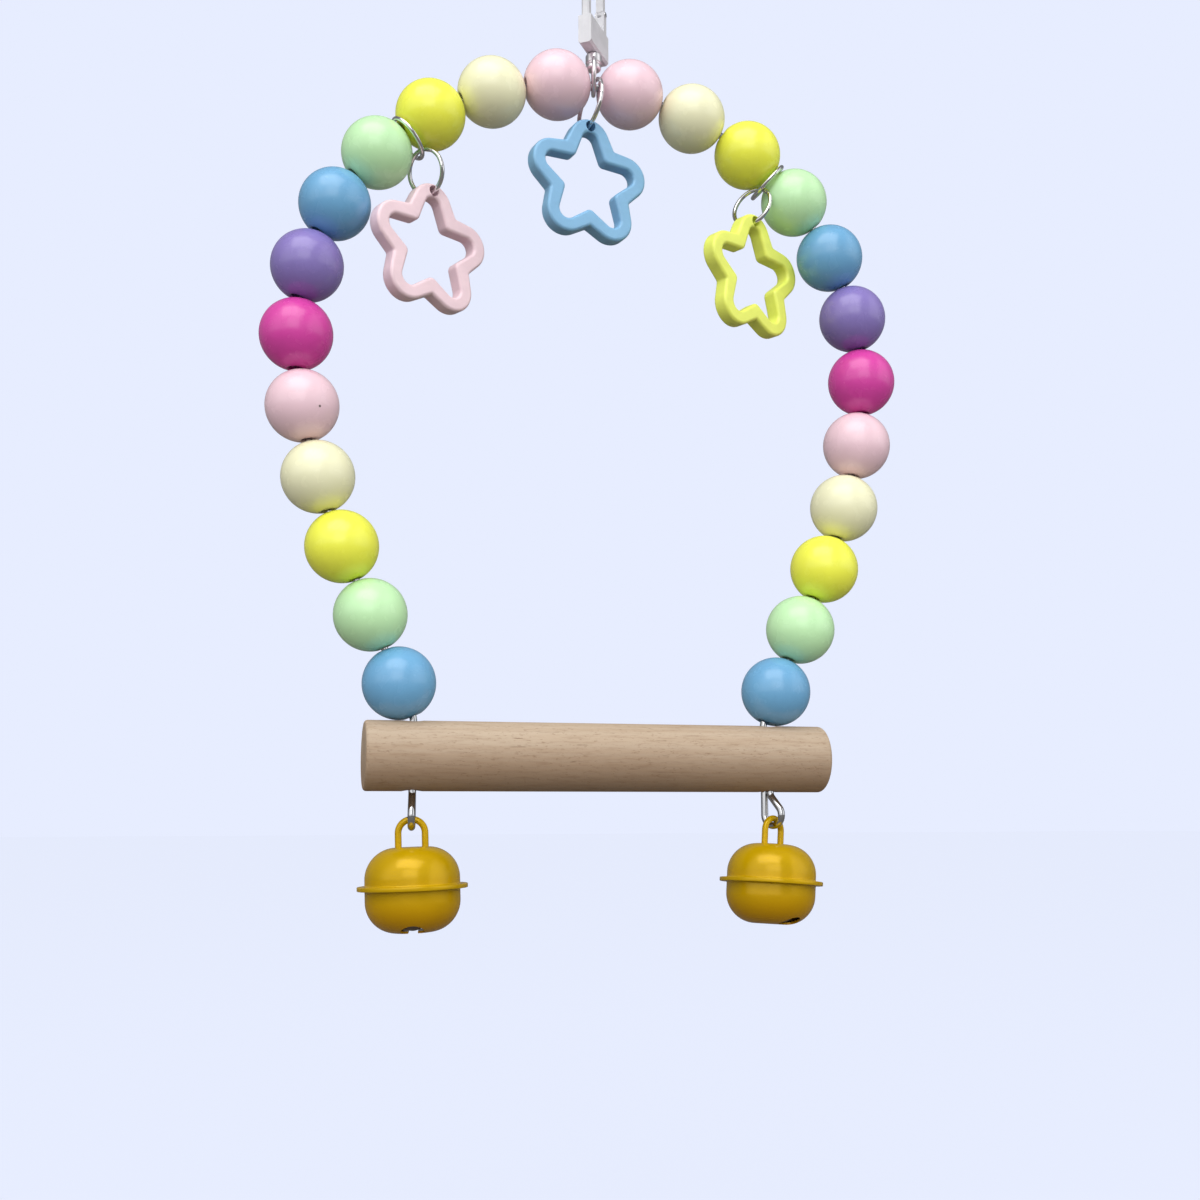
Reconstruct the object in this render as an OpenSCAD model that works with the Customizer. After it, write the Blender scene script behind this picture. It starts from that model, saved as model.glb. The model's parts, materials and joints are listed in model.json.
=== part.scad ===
// Bird swing: a beaded wire arch with a wooden perch, three hanging stars and two jingle bells,
// carried by a swivel clip. Millimetres, +Z up, arch in the XZ plane,
// origin at the centre of the seat in the clip's crown, where the swing hangs.

/* [Hang clip] */
// Radius of the seat inside the clip's crown
seat_r = 3.9; // [3:0.1:5]
// Width of the clip's bar, seen from its flat side
bar_w = 1.8; // [1.8:0.1:2.4]
// Thickness of the clip's bar
bar_t = 1.8; // [1.6:0.1:2.4]
// Chamfer on the bar's outer edges
bar_bevel = 0.4; // [0.2:0.1:0.6]
// Height from the top of the block to the centre of the seat
throat_h = 21.4; // [18:0.2:30]
// Rounding where the bars meet the block
throat_round = 1.6; // [0.8:0.1:2]
// Height of the block at the clip's foot
block_h = 6.9; // [6:0.1:10]
// Thickness of the block
block_t = 3.2; // [3:0.1:4.4]
// Chamfer on the block's long lower edges
block_bevel = 0.5; // [0.2:0.1:0.8]
// Turn of the clip about the vertical, away from the arch's plane, in degrees
clip_turn = 55; // [0:1:90]

/* [Gate] */
// Height of the gate's pin above the block
gate_pin_h = 5.7; // [5:0.1:8]
// Diameter of the gate's pin
gate_pin_d = 0.8; // [0.7:0.05:0.9]
// Height of each riveted head of the pin
pin_head_h = 0.2; // [0.1:0.05:0.4]
// How far each riveted head stands out past the pin
pin_head_lip = 0.2; // [0.1:0.05:0.3]
// Thickness of the lug that carries the gate
lug_t = 2.2; // [2:0.1:3]
// Thickness of the gate's tongue
tongue_t = 0.9; // [0.6:0.1:1.1]
// Clearance beside the tongue and round the lug
gate_gap = 0.1; // [0.05:0.01:0.15]
// How far the nose reaches below the seat's centre
nose_drop = 1; // [0.5:0.1:2]
// Slope of the nose's end, in degrees
nose_slope = 35; // [20:1:45]
// Diameter of the gate's coil spring
spring_d = 0.85; // [0.7:0.05:0.9]
// Diameter of the spring's wire
spring_wire = 0.15; // [0.1:0.01:0.18]
// Length of the spring in the closed clip
spring_l = 3.2; // [2.4:0.1:3.6]
// Turns of the spring
spring_turns = 7; // [4:1:9]
// Distance of the spring's centre from the pin's, towards the inside
spring_shift = 0.2; // [0.1:0.05:0.25]

/* [Swivel] */
// Diameter of the rivet's neck
neck_d = 1.8; // [1.6:0.1:2]
// Diameter of the rivet's head
head_d = 3.5; // [3:0.1:3.8]
// Thickness of the rivet's head
head_h = 1.15; // [0.9:0.05:1.4]
// Length of the neck held in the block
neck_grip = 3; // [2:0.1:4]
// Diameter of the swivel's collar
collar_d = 3.8; // [3.6:0.1:4.6]
// Height of the swivel's collar
collar_h = 2.65; // [2.2:0.05:3]
// Radius of the swivel's loop, to the middle of its wire
loop_r = 4.1; // [4:0.1:5]
// Diameter of the wire of the loop and of all hanging rings
ring_wire = 1; // [0.8:0.05:1.1]
// Turn of the loop away from the fore-and-aft plane, in degrees
loop_turn = 12; // [10:1:13]
// Gap above the collar and between collar and rivet head
swivel_gap = 0.15; // [0.1:0.01:0.3]

/* [Arch] */
// Diameter of the arch's steel wire
wire_d = 1.6; // [1.4:0.1:1.8]
// Radius of the arch's crown, to the middle of the wire
crown_r = 66.4; // [60:0.2:75]
// Turn of the crown on each side of the middle, in degrees
crown_turn = 97.5; // [95:0.5:100]
// Radius of each flatter side below the crown
side_r = 145; // [130:1:160]
// Turn of each side, in degrees
side_turn = 16; // [14:0.5:17]
// Distance of each upright strand from the middle
strand_x = 39.8; // [37:0.1:41]
// Radius of the knee between the sloping leg and the upright strand
knee_r = 4; // [3:0.1:5]

/* [Beads] */
// Diameter of a bead
bead_d = 15.8; // [15:0.1:15.8]
// Diameter of a bead's bore
bead_bore = 2.8; // [2.6:0.1:3.4]
// Depth of the funnel at each mouth of the bore
bead_funnel = 0.4; // [0.2:0.1:0.8]
// Spacing of the beads along the wire
bead_pitch = 15.9; // [15.9:0.05:16.1]
// Distance along the wire from the middle to the first bead's centre
first_bead = 8.8; // [8.75:0.05:9]
// Beads on each side
beads_per_side = 12; // [12:1:12]

/* [Perch] */
// Diameter of the wooden perch
perch_d = 15; // [13:0.5:17]
// Length of the perch
perch_l = 103.6; // [96:0.2:120]
// How far the perch is shifted to the right
perch_shift = 1.5; // [-3:0.1:3]
// Distance of the perch's axis behind the arch's plane, less than zero in front
perch_y = -0.8; // [-1:0.1:1]
// Rounding of the perch's rims
rim_r = 0.9; // [0.4:0.1:2]
// Diameter of the holes for the wire
perch_hole_d = 3.8; // [3.7:0.1:5]
// Gap between the perch and the bead above it
perch_gap = 0.13; // [0.1:0.01:0.5]

/* [Wire eyes] */
// Radius of an eye, to the middle of the wire
eye_r = 2.4; // [2.2:0.1:3]
// Height from the eye's centre to the perch
eye_h = 5; // [4.6:0.1:6]
// Radius of the bend where the eye closes into the perch
eye_neck_r = 1.6; // [1.4:0.1:2]
// Length of the wire's tail inside the perch
tail_l = 6; // [3:0.5:10]
// Turn of the left eye about its strand, in degrees
left_eye_turn = -8; // [-40:1:40]
// Turn of the right eye about its strand, in degrees
right_eye_turn = 30; // [-40:1:40]

/* [Bells] */
// Diameter of a bell's body
bell_d = 19.8; // [18:0.2:22]
// Height of the upper shell above the seam
bell_up = 8.3; // [7.5:0.1:9]
// Depth of the lower shell below the seam
bell_down = 9.3; // [8.5:0.1:10]
// Radius of the flat crown and of the flat bottom
bell_flat_r = 3.4; // [3.2:0.1:4]
// Wall of the shells
bell_wall = 0.45; // [0.35:0.05:0.6]
// Diameter over the seam's flange
flange_d = 23; // [21.4:0.2:25]
// Diameter of the wire of a bell's loop
bell_wire = 1.4; // [1.2:0.1:1.6]
// Half the width of a bell's loop, to the middle of its wire
bell_loop_r = 2.8; // [2.6:0.1:3]
// Height of the loop's wire above the crown
bell_loop_rise = 5.75; // [5.4:0.05:6.5]
// Diameter of the heads that hold the loop inside the crown
loop_head_d = 2.2; // [1.9:0.1:2.6]
// Height of those heads
loop_head_h = 0.9; // [0.8:0.1:1.2]
// Diameter of the sound holes
sound_hole_d = 4.9; // [4.6:0.1:5.2]
// Distance of the sound holes from the bell's axis
sound_hole_r = 5.4; // [5:0.1:5.6]
// Width of the slot between the sound holes
slot_w = 2; // [1:0.1:2.4]
// Diameter of the pellet
pellet_d = 6.4; // [6:0.1:6.6]
// Lean of the left bell, in degrees
left_bell_lean = -2; // [-10:0.5:10]
// Lean of the right bell, in degrees
right_bell_lean = 5; // [-10:0.5:10]

/* [Hanging rings] */
// Radius of the side rings, to the middle of the wire
side_ring_r = 4.9; // [4.8:0.1:5]
// Radius of the centre ring, to the middle of the wire
centre_ring_r = 6; // [5.8:0.1:6.2]
// Clearance between linked rings
link_gap = 0.1; // [0.08:0.01:0.15]
// Least distance of an upper side ring from the arch's wire
ring_seat = 3.1; // [3.1:0.05:3.3]
// Turn of the lower side rings away from the fore-and-aft plane, in degrees
side_ring_turn = 40; // [39:1:42]
// Inward lean of the lower side rings, in degrees
side_ring_lean = 15; // [10:1:16]
// Turn of the centre ring away from the fore-and-aft plane, in degrees
centre_ring_turn = 12; // [10:1:14]
// Lean of the centre ring to the left, in degrees
centre_ring_lean = 8; // [0:1:9]

/* [Stars] */
// Thickness of a star
star_t = 3.8; // [3.4:0.1:4]
// Distance of the outer lobes' centres from the star's centre
lobe_at = 9.97; // [9.6:0.01:10.4]
// Radius of the outer lobes
lobe_r = 5.15; // [4.9:0.05:5.3]
// Distance of the outer hollows' centres from the star's centre
hollow_at = 11.5; // [11.3:0.1:11.7]
// Radius of the outer hollows
hollow_r = 0.65; // [0.5:0.05:0.8]
// Distance of the opening's tips from the star's centre
tip_at = 9.85; // [9.6:0.01:9.9]
// Radius of the opening's tips
tip_r = 2.05; // [1.8:0.05:2.2]
// Distance of the opening's inner corners from the star's centre
corner_at = 8.36; // [8.1:0.01:8.6]
// Radius of the opening's inner corners
corner_r = 1.47; // [1.3:0.01:1.6]
// Diameter of the hole for the ring
star_hole_d = 2.5; // [2.45:0.01:2.6]
// Distance of the hole from the star's centre
star_hole_at = 13.4; // [13.35:0.01:13.45]
// Turn of the left star's face, in degrees
left_star_turn = 28; // [27:1:40]
// Turn of the centre star's face, in degrees
centre_star_turn = 14; // [8:1:18]
// Turn of the right star's face, in degrees
right_star_turn = 28; // [27:1:40]

/* [Hidden] */
$fn = 64;
LEFT = -1;
RIGHT = 1;
// overrun of cuts, and the clearance of fixed and of turning fits
over = bead_funnel;
fixed_gap = gate_gap / 5;
turning_gap = gate_gap / 2;
// width of the balls that join a bent wire's runs, against the wire
joint_share = 1.02;

// the clip: its outer edge, the gate's line and the pin's height
clip_out_r = seat_r + bar_w;
gate_x = seat_r + bar_w / 2;
block_top_z = -throat_h;
block_bottom_z = block_top_z - block_h;
pin_z = block_top_z + gate_pin_h;
tongue_r = bar_w / 2 - turning_gap;
slot_bottom_z = pin_z - tongue_r - gate_gap;

// the swivel, from the block down to the loop's lowest point
collar_top_z = block_bottom_z - swivel_gap;
collar_bottom_z = collar_top_z - collar_h;
head_top_z = collar_bottom_z - swivel_gap;
loop_z = (collar_top_z + collar_bottom_z) / 2 - loop_r;

// the arch: its apex rests in the loop, and its runs are measured from there
apex_z = loop_z - loop_r + (ring_wire + wire_d) / 2 + link_gap;
leg_turn = crown_turn + side_turn;
crown_len = crown_r * crown_turn * PI / 180;
side_len = side_r * side_turn * PI / 180;
crown_end = [crown_r * sin(crown_turn), apex_z - crown_r * (1 - cos(crown_turn))];
side_end = crown_end + side_r * [sin(leg_turn) - sin(crown_turn), cos(leg_turn) - cos(crown_turn)];
knee_turn = leg_turn - 90;
knee_tangent = knee_r * tan(knee_turn / 2);
leg_to_knee = (side_end.x - strand_x) / sin(knee_turn);
strand_top_z = side_end.y - leg_to_knee * cos(knee_turn) - knee_tangent;

// a place along one half of the arch: across, up and the wire's turn there
function arch_at(s) =
    s < crown_len ?
        let (a = s / crown_len * crown_turn)
        [crown_r * sin(a), apex_z - crown_r * (1 - cos(a)), a]
    : s < crown_len + side_len ?
        let (a = crown_turn + (s - crown_len) / side_len * side_turn)
        [crown_end.x + side_r * (sin(a) - sin(crown_turn)),
         crown_end.y + side_r * (cos(a) - cos(crown_turn)), a]
    :
        let (run = s - crown_len - side_len)
        [side_end.x - run * sin(knee_turn), side_end.y - run * cos(knee_turn), leg_turn];

function bead_place(i) = arch_at(first_bead + i * bead_pitch);

// the perch lies under the last bead, or lower where the arch's knee is lower, and the eyes close under it
last_bead_z = bead_place(beads_per_side - 1)[1];
bead_to_perch = (bead_d + perch_d) / 2 + perch_gap;
knee_reach = (perch_hole_d - wire_d) / 4;
perch_z = min(
    last_bead_z - sqrt(bead_to_perch * bead_to_perch - perch_y * perch_y),
    strand_top_z - perch_d / 2 + knee_reach
);
eye_top_z = perch_z - perch_d / 2 - link_gap;
eye_z = eye_top_z - eye_h;
tail_x = wire_d + link_gap;
function eye_turn(side) = side == LEFT ? left_eye_turn : right_eye_turn;
// the eye's straight flank and its slope, from the eye's two bends
eye_bends = eye_r + eye_neck_r;
eye_across = eye_bends - (2 * eye_r - tail_x);
eye_flank = sqrt(eye_across * eye_across + eye_h * eye_h - eye_bends * eye_bends);
eye_slope = atan2(eye_h, eye_across) - atan2(eye_flank, eye_bends);
function eye_way(side) = [sin(eye_turn(side)), -cos(eye_turn(side)), 0];

// the bells hang in the eyes by the top of their loops
bell_link = (wire_d + bell_wire) / 2 + link_gap;
bell_seam_drop = bell_loop_rise + bell_up - bell_link;
bell_r = bell_d / 2;
pellet_gap = link_gap;
pellet_z = -bell_down + bell_wall + pellet_d / 2 + pellet_gap;
function bell_lean(side) = side == LEFT ? left_bell_lean : right_bell_lean;

// the upper side rings sit between the third and fourth beads
side_ring_s = first_bead + 2.5 * bead_pitch;
side_ring_in = side_ring_r - ring_seat;
ring_link = ring_wire + 4 * link_gap;
upper_strand_r = crown_r - side_ring_in - side_ring_r;
side_ring_a = side_ring_s / crown_len * crown_turn;
function upper_strand(side) =
    [side * upper_strand_r * sin(side_ring_a), 0,
     apex_z - crown_r + upper_strand_r * cos(side_ring_a)];
// way down a leaning ring: its plane turned by a, leaning to the right by b
function ring_down(a, b) = [cos(a) * sin(b), sin(a) * sin(b), -cos(b)];
function lower_strand(side) =
    upper_strand(side) + [0, 0, ring_link]
    + 2 * side_ring_r * ring_down(side_ring_turn, -side * side_ring_lean);
centre_link = (wire_d + ring_wire) / 2 + link_gap;
centre_strand =
    [0, 0, apex_z + centre_link]
    + 2 * centre_ring_r * ring_down(centre_ring_turn, -centre_ring_lean);

// a star hangs with the rims of its hole just over the ring's wire, which rises towards the star's
// faces and runs askew to the hole: by how much the hole's centre lies below the wire's
function wire_rise(r) = r - sqrt(r * r - star_t * star_t / 4);
function star_drop(r, lean, skew) =
    let (
        rim_wire = ring_wire / cos(asin(star_t / 2 / r)) / cos(skew),
        play = (star_hole_d - rim_wire) / 2 - link_gap,
        aside = wire_rise(r) * sin(lean) + star_t / 2 * tan(abs(skew))
    )
    sqrt(play * play - aside * aside) - wire_rise(r) * cos(lean);
// flat steps round each tip and each inner corner of a star's outline
tips_per_star = 5;
tip_turn = 360 / tips_per_star;
star_tip_steps = 16;
star_corner_steps = 6;

bead_colours = [
    "pink", "ivory", "yellow", "palegreen", "skyblue", "mediumpurple",
    "orchid", "pink", "ivory", "yellow", "palegreen", "skyblue"
];
side_names = ["left", "", "right"];
function side_name(side) = side_names[side + 1];
function bead_name(side, i) = str(side_name(side), "_bead_", i < 9 ? "0" : "", i + 1);

// A closed ring of round wire about the Z axis
module wire_ring(r, wire) {
    rotate_extrude() translate([r, 0]) circle(d = wire);
}

// A ring in an upright plane, hung from the middle of its top, turned and leaning to the right
module hung_ring(r, turn, lean) {
    rotate([0, 0, turn]) rotate([0, -lean, 0]) translate([0, 0, -r]) rotate([0, 90, 0])
        wire_ring(r, ring_wire);
}

// A wire bent in the XZ plane from its start along +X: each step is a straight run, then a bend
// of a radius through a turn, downwards where the turn is positive. The children sit at its end.
// A ball a hair wider than the wire joins each run to the next.
module bent_wire(steps, wire, i = 0) {
    if (i < len(steps)) {
        run = steps[i][0];
        bend_r = steps[i][1];
        turn = steps[i][2];
        sphere(d = wire * joint_share);
        if (run > 0) rotate([0, 90, 0]) cylinder(d = wire, h = run);
        translate([run, 0, 0]) {
            if (turn != 0) {
                if (run > 0) sphere(d = wire * joint_share);
                mirror([0, 0, turn < 0 ? 1 : 0]) translate([0, 0, -bend_r])
                    rotate([90, 0, 0]) rotate([0, 0, 90 - abs(turn)])
                    rotate_extrude(angle = abs(turn)) translate([bend_r, 0]) circle(d = wire);
            }
            translate([bend_r * sin(abs(turn)), 0, -sign(turn) * bend_r * (1 - cos(turn))])
                rotate([0, turn, 0]) bent_wire(steps, wire, i + 1) children();
        }
    } else {
        children();
    }
}

// The clip's own frame: seat at the origin, spine on the left, gate on the right
module clip_frame() {
    rotate([0, 0, clip_turn]) children();
}

// Section of the clip's bar, on the right of the seat, with its outer edges chamfered
module bar_section() {
    half_t = bar_t / 2;
    polygon([
        [seat_r, -half_t],
        [clip_out_r - bar_bevel, -half_t],
        [clip_out_r, bar_bevel - half_t],
        [clip_out_r, half_t - bar_bevel],
        [clip_out_r - bar_bevel, half_t],
        [seat_r, half_t]
    ]);
}

// A straight length of the bar on the gate's side, from one height up to another
module bar_run(from_z, to_z) {
    translate([0, 0, from_z]) linear_extrude(height = to_z - from_z) bar_section();
}

// Everything below the sloping end of the nose
module below_nose(gap) {
    span = 4 * clip_out_r;
    translate([clip_out_r, 0, -nose_drop - gap]) rotate([0, nose_slope, 0])
        translate([-span / 2, -span / 2, -span]) cube(span);
}

// A cylinder across the clip, on the gate's pin
module across_pin(d, length) {
    translate([gate_x, 0, pin_z]) rotate([90, 0, 0]) cylinder(d = d, h = length, center = true);
}

module clip_block() {
    half_t = block_t / 2;
    translate([-clip_out_r, 0, block_bottom_z]) rotate([90, 0, 90])
        linear_extrude(height = 2 * clip_out_r) polygon([
            [block_bevel - half_t, 0],
            [half_t - block_bevel, 0],
            [half_t, block_bevel],
            [half_t, block_h],
            [-half_t, block_h],
            [-half_t, block_bevel]
        ]);
}

// The rounded corner between a bar and the block, on the gate's side
module throat_corner() {
    translate([seat_r - throat_round, 0, block_top_z]) rotate([90, 0, 0])
        linear_extrude(height = bar_t, center = true) difference() {
            square(throat_round);
            translate([0, throat_round]) circle(r = throat_round);
        }
}

module gate_lug() {
    translate([seat_r, -lug_t / 2, block_top_z]) cube([bar_w, lug_t, gate_pin_h]);
    across_pin(bar_w, lug_t);
}

module hook_body() {
    color("whitesmoke") clip_frame() difference() {
        union() {
            rotate([90, 0, 0]) rotate_extrude(angle = 180) bar_section();
            mirror([1, 0, 0]) bar_run(block_top_z, 0);
            difference() {
                bar_run(-2 * nose_drop, 0);
                below_nose(0);
            }
            clip_block();
            for (flip = [0, 1]) mirror([flip, 0, 0]) throat_corner();
            gate_lug();
        }
        // slot for the tongue, bore for the pin, and the wells of the spring and of the rivet
        translate([seat_r - over, -tongue_t / 2 - turning_gap, slot_bottom_z])
            cube([bar_w + 2 * over, tongue_t + 2 * turning_gap, bar_w + throat_round]);
        across_pin(gate_pin_d + 2 * fixed_gap, lug_t + 2 * over);
        translate([gate_x - spring_shift, 0, slot_bottom_z - spring_l])
            cylinder(d = spring_d + 2 * turning_gap, h = spring_l + over);
        translate([0, 0, block_bottom_z - over])
            cylinder(d = neck_d + 2 * fixed_gap, h = neck_grip + 2 * over);
    }
}

module gate() {
    color("gainsboro") clip_frame() difference() {
        union() {
            difference() {
                intersection() {
                    bar_run(pin_z, 0);
                    below_nose(gate_gap);
                }
                across_pin(bar_w + 2 * gate_gap, lug_t + 2 * over);
            }
            across_pin(2 * tongue_r, tongue_t);
            translate([gate_x - tongue_r, -tongue_t / 2, pin_z]) cube([2 * tongue_r, tongue_t, bar_w]);
        }
        across_pin(gate_pin_d + 2 * turning_gap, lug_t + 2 * over);
    }
}

module gate_pin() {
    color("silver") clip_frame() {
        across_pin(gate_pin_d, lug_t);
        for (face = [-1, 1]) translate([0, face * (lug_t + pin_head_h) / 2, 0])
            across_pin(gate_pin_d + 2 * pin_head_lip, pin_head_h);
    }
}

// Places along the spring's wire, and the faces of the tube that follows it
spring_steps = 10;
spring_sides = 6;
spring_rings = spring_turns * spring_steps;
spring_coil_r = (spring_d - spring_wire) / 2;
spring_points = [
    for (i = [0 : spring_rings], k = [0 : spring_sides - 1])
        let (
            around = i * 360 / spring_steps,
            about = k * 360 / spring_sides,
            r = spring_coil_r + spring_wire / 2 * cos(about),
            rise = spring_wire / 2 + (spring_l - spring_wire) * i / spring_rings
        )
        [r * cos(around), r * sin(around), rise + spring_wire / 2 * sin(about)]
];
spring_faces = concat(
    [for (i = [0 : spring_rings - 1], k = [0 : spring_sides - 1])
        let (a = i * spring_sides + k, b = i * spring_sides + (k + 1) % spring_sides)
        [a, b, b + spring_sides]],
    [for (i = [0 : spring_rings - 1], k = [0 : spring_sides - 1])
        let (a = i * spring_sides + k, b = i * spring_sides + (k + 1) % spring_sides)
        [a, b + spring_sides, a + spring_sides]],
    [for (k = [1 : spring_sides - 2]) [0, k + 1, k]],
    [for (k = [1 : spring_sides - 2])
        [0, k, k + 1] + spring_rings * spring_sides * [1, 1, 1]]
);

module gate_spring() {
    color("gray") clip_frame() translate([gate_x - spring_shift, 0, slot_bottom_z - spring_l])
        polyhedron(points = spring_points, faces = spring_faces);
}

module swivel_rivet() {
    edge = head_h / 2;
    color("silver") {
        translate([0, 0, head_top_z - head_h]) rotate_extrude() {
            square([head_d / 2 - edge, head_h]);
            translate([0, edge]) square([head_d / 2, head_h - edge]);
            translate([head_d / 2 - edge, edge]) circle(r = edge);
        }
        translate([0, 0, head_top_z])
            cylinder(d = neck_d, h = block_bottom_z + neck_grip - head_top_z);
    }
}

module swivel_loop() {
    edge = collar_h / 6;
    color("silver") difference() {
        union() {
            translate([0, 0, loop_z]) rotate([0, 0, -loop_turn]) rotate([0, 90, 0])
                wire_ring(loop_r, ring_wire);
            translate([0, 0, collar_bottom_z]) {
                translate([0, 0, edge]) cylinder(d = collar_d, h = collar_h - 2 * edge);
                cylinder(d1 = collar_d - 2 * edge, d2 = collar_d, h = edge);
                translate([0, 0, collar_h - edge])
                    cylinder(d1 = collar_d, d2 = collar_d - 2 * edge, h = edge);
            }
        }
        translate([0, 0, collar_bottom_z - over])
            cylinder(d = neck_d + 2 * gate_gap, h = collar_h + 2 * over);
    }
}

// One side of the arch's wire below the crown, with its eye, drawn on the right
module arch_side(turn) {
    translate([crown_end.x, 0, crown_end.y]) rotate([0, crown_turn, 0]) bent_wire([
        [0, side_r, side_turn],
        [leg_to_knee - knee_tangent, knee_r, -knee_turn],
        [strand_top_z - eye_z, 0, 0]
    ], wire_d) rotate([-90 - turn, 0, 0]) bent_wire([
        [0, eye_r, 180 + eye_slope],
        [eye_flank, eye_neck_r, -eye_slope],
        [tail_l, 0, 0]
    ], wire_d);
}

module arch_wire() {
    color("silver") {
        translate([0, 0, apex_z - crown_r]) rotate([90, 0, 0]) rotate([0, 0, 90 - crown_turn])
            rotate_extrude(angle = 2 * crown_turn) translate([crown_r, 0]) circle(d = wire_d);
        arch_side(right_eye_turn);
        rotate([0, 0, 180]) arch_side(180 + left_eye_turn);
    }
}

module bead(side, i) {
    place = bead_place(i);
    mouth = sqrt(bead_d * bead_d - bead_bore * bead_bore) / 2;
    color(bead_colours[i]) translate([side * place[0], 0, place[1]]) rotate([0, side * place[2], 0])
        rotate([0, 90, 0]) difference() {
            sphere(d = bead_d);
            cylinder(d = bead_bore, h = 2 * bead_d, center = true);
            for (end = [0, 1]) mirror([0, 0, end]) translate([0, 0, mouth - bead_funnel])
                cylinder(d1 = bead_bore, d2 = bead_bore + 4 * bead_funnel, h = 2 * bead_funnel);
        }
}

module perch() {
    color("burlywood") difference() {
        translate([perch_shift - perch_l / 2, perch_y, perch_z]) rotate([0, 90, 0]) rotate_extrude() {
            square([perch_d / 2 - rim_r, perch_l]);
            translate([0, rim_r]) square([perch_d / 2, perch_l - 2 * rim_r]);
            for (z = [rim_r, perch_l - rim_r]) translate([perch_d / 2 - rim_r, z]) circle(r = rim_r);
        }
        for (side = [LEFT, RIGHT])
            translate([side * strand_x, 0, perch_z] + tail_x / 2 * eye_way(side))
                cylinder(d = perch_hole_d, h = perch_d + 2 * over, center = true);
    }
}

module upper_ring(side) {
    color("silver") translate([0, 0, apex_z - crown_r]) rotate([0, side * side_ring_a, 0])
        translate([0, 0, crown_r - side_ring_in]) rotate([0, 90, 0]) wire_ring(side_ring_r, ring_wire);
}

module lower_ring(side) {
    color("silver") translate(upper_strand(side) + [0, 0, ring_link])
        hung_ring(side_ring_r, side_ring_turn, -side * side_ring_lean);
}

module centre_ring() {
    color("silver") translate([0, 0, apex_z + centre_link])
        hung_ring(centre_ring_r, centre_ring_turn, -centre_ring_lean);
}

// Points round an arc, from one direction to another
function arc_points(centre, r, from, to, steps) =
    [for (i = [0 : steps]) centre + r * [cos(from + (to - from) * i / steps), sin(from + (to - from) * i / steps)]];

// A place turned about the origin
function turned(p, a) = [p.x * cos(a) - p.y * sin(a), p.x * sin(a) + p.y * cos(a)];

// A five-lobed outline: round tips and round inner corners, joined by flanks that touch both
function lobed(tips_at, tips_r, corners_at, corners_r) =
    let (
        corner = corners_at * [sin(tip_turn / 2), cos(tip_turn / 2)],
        span = corner - [0, tips_at],
        flank = atan2(span.y, span.x) + acos((tips_r + corners_r) / norm(span)),
        lobe = concat(
            arc_points([0, tips_at], tips_r, flank, 180 - flank, star_tip_steps),
            arc_points([-corner.x, corner.y], corners_r, -flank, flank + tip_turn - 180, star_corner_steps)
        )
    )
    [for (k = [0 : tips_per_star - 1], p = lobe) turned(p, tip_turn * k)];

// A star upright in the XZ plane, its centre at the origin
module star() {
    outer = lobed(lobe_at, lobe_r, hollow_at, hollow_r);
    inner = lobed(tip_at, tip_r, corner_at, corner_r);
    difference() {
        rotate([90, 0, 0]) linear_extrude(height = star_t, center = true)
            polygon(points = concat(outer, inner), paths = [
                [for (i = [0 : len(outer) - 1]) i],
                [for (i = [0 : len(inner) - 1]) len(outer) + i]
            ]);
        translate([0, 0, star_hole_at]) rotate([90, 0, 0])
            cylinder(d = star_hole_d, h = star_t + 2 * over, center = true);
    }
}

// A star hung under a place, by a distance and with its face turned
module hung_star(place, drop, turn) {
    translate(place - [0, 0, drop + star_hole_at]) rotate([0, 0, turn]) star();
}

module left_star() {
    drop = star_drop(side_ring_r, side_ring_lean, side_ring_turn - left_star_turn);
    color("lightpink") hung_star(lower_strand(LEFT), drop, left_star_turn);
}

module centre_star() {
    drop = star_drop(centre_ring_r, centre_ring_lean, centre_ring_turn - centre_star_turn);
    color("cornflowerblue") hung_star(centre_strand, drop, centre_star_turn);
}

module right_star() {
    drop = star_drop(side_ring_r, side_ring_lean, side_ring_turn - right_star_turn);
    color("greenyellow") hung_star(lower_strand(RIGHT), drop, right_star_turn);
}

// A bell's own frame: its seam plane at the origin, its sound hole in front
module bell_frame(side) {
    translate([side * strand_x, 0, eye_z - eye_r] + eye_r * eye_way(side))
        rotate([0, 0, eye_turn(side)]) rotate([0, bell_lean(side), 0])
        translate([0, 0, -bell_seam_drop]) children();
}

// Half section of one shell above the seam, grown inwards from its outside by a wall
module shell_half(height, inset) {
    round_r = bell_r - bell_flat_r;
    intersection() {
        square([bell_r - inset, height - inset]);
        union() {
            square([bell_r, height - round_r]);
            square([bell_flat_r, height]);
            translate([bell_flat_r, height - round_r]) circle(r = round_r - inset);
        }
    }
}

module shell(height) {
    rotate_extrude() {
        difference() {
            shell_half(height, 0);
            shell_half(height, bell_wall);
        }
        translate([bell_r - bell_wall, 0]) square([flange_d / 2 - bell_r + bell_wall, bell_wall]);
    }
}

module bell_cap(side) {
    color("goldenrod") bell_frame(side) difference() {
        shell(bell_up);
        for (leg = [-1, 1]) translate([leg * bell_loop_r, 0, bell_up - bell_wall - over])
            cylinder(d = bell_wire + 2 * fixed_gap, h = bell_wall + 2 * over);
    }
}

module bell_cup(side) {
    cut_h = bell_wall + bell_d / 8;
    color("goldenrod") bell_frame(side) difference() {
        mirror([0, 0, 1]) shell(bell_down);
        translate([0, 0, -bell_down - over]) {
            for (end = [-1, 1]) translate([0, end * sound_hole_r, 0])
                cylinder(d = sound_hole_d, h = cut_h);
            translate([-slot_w / 2, -sound_hole_r, 0]) cube([slot_w, 2 * sound_hole_r, cut_h]);
        }
    }
}

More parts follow.
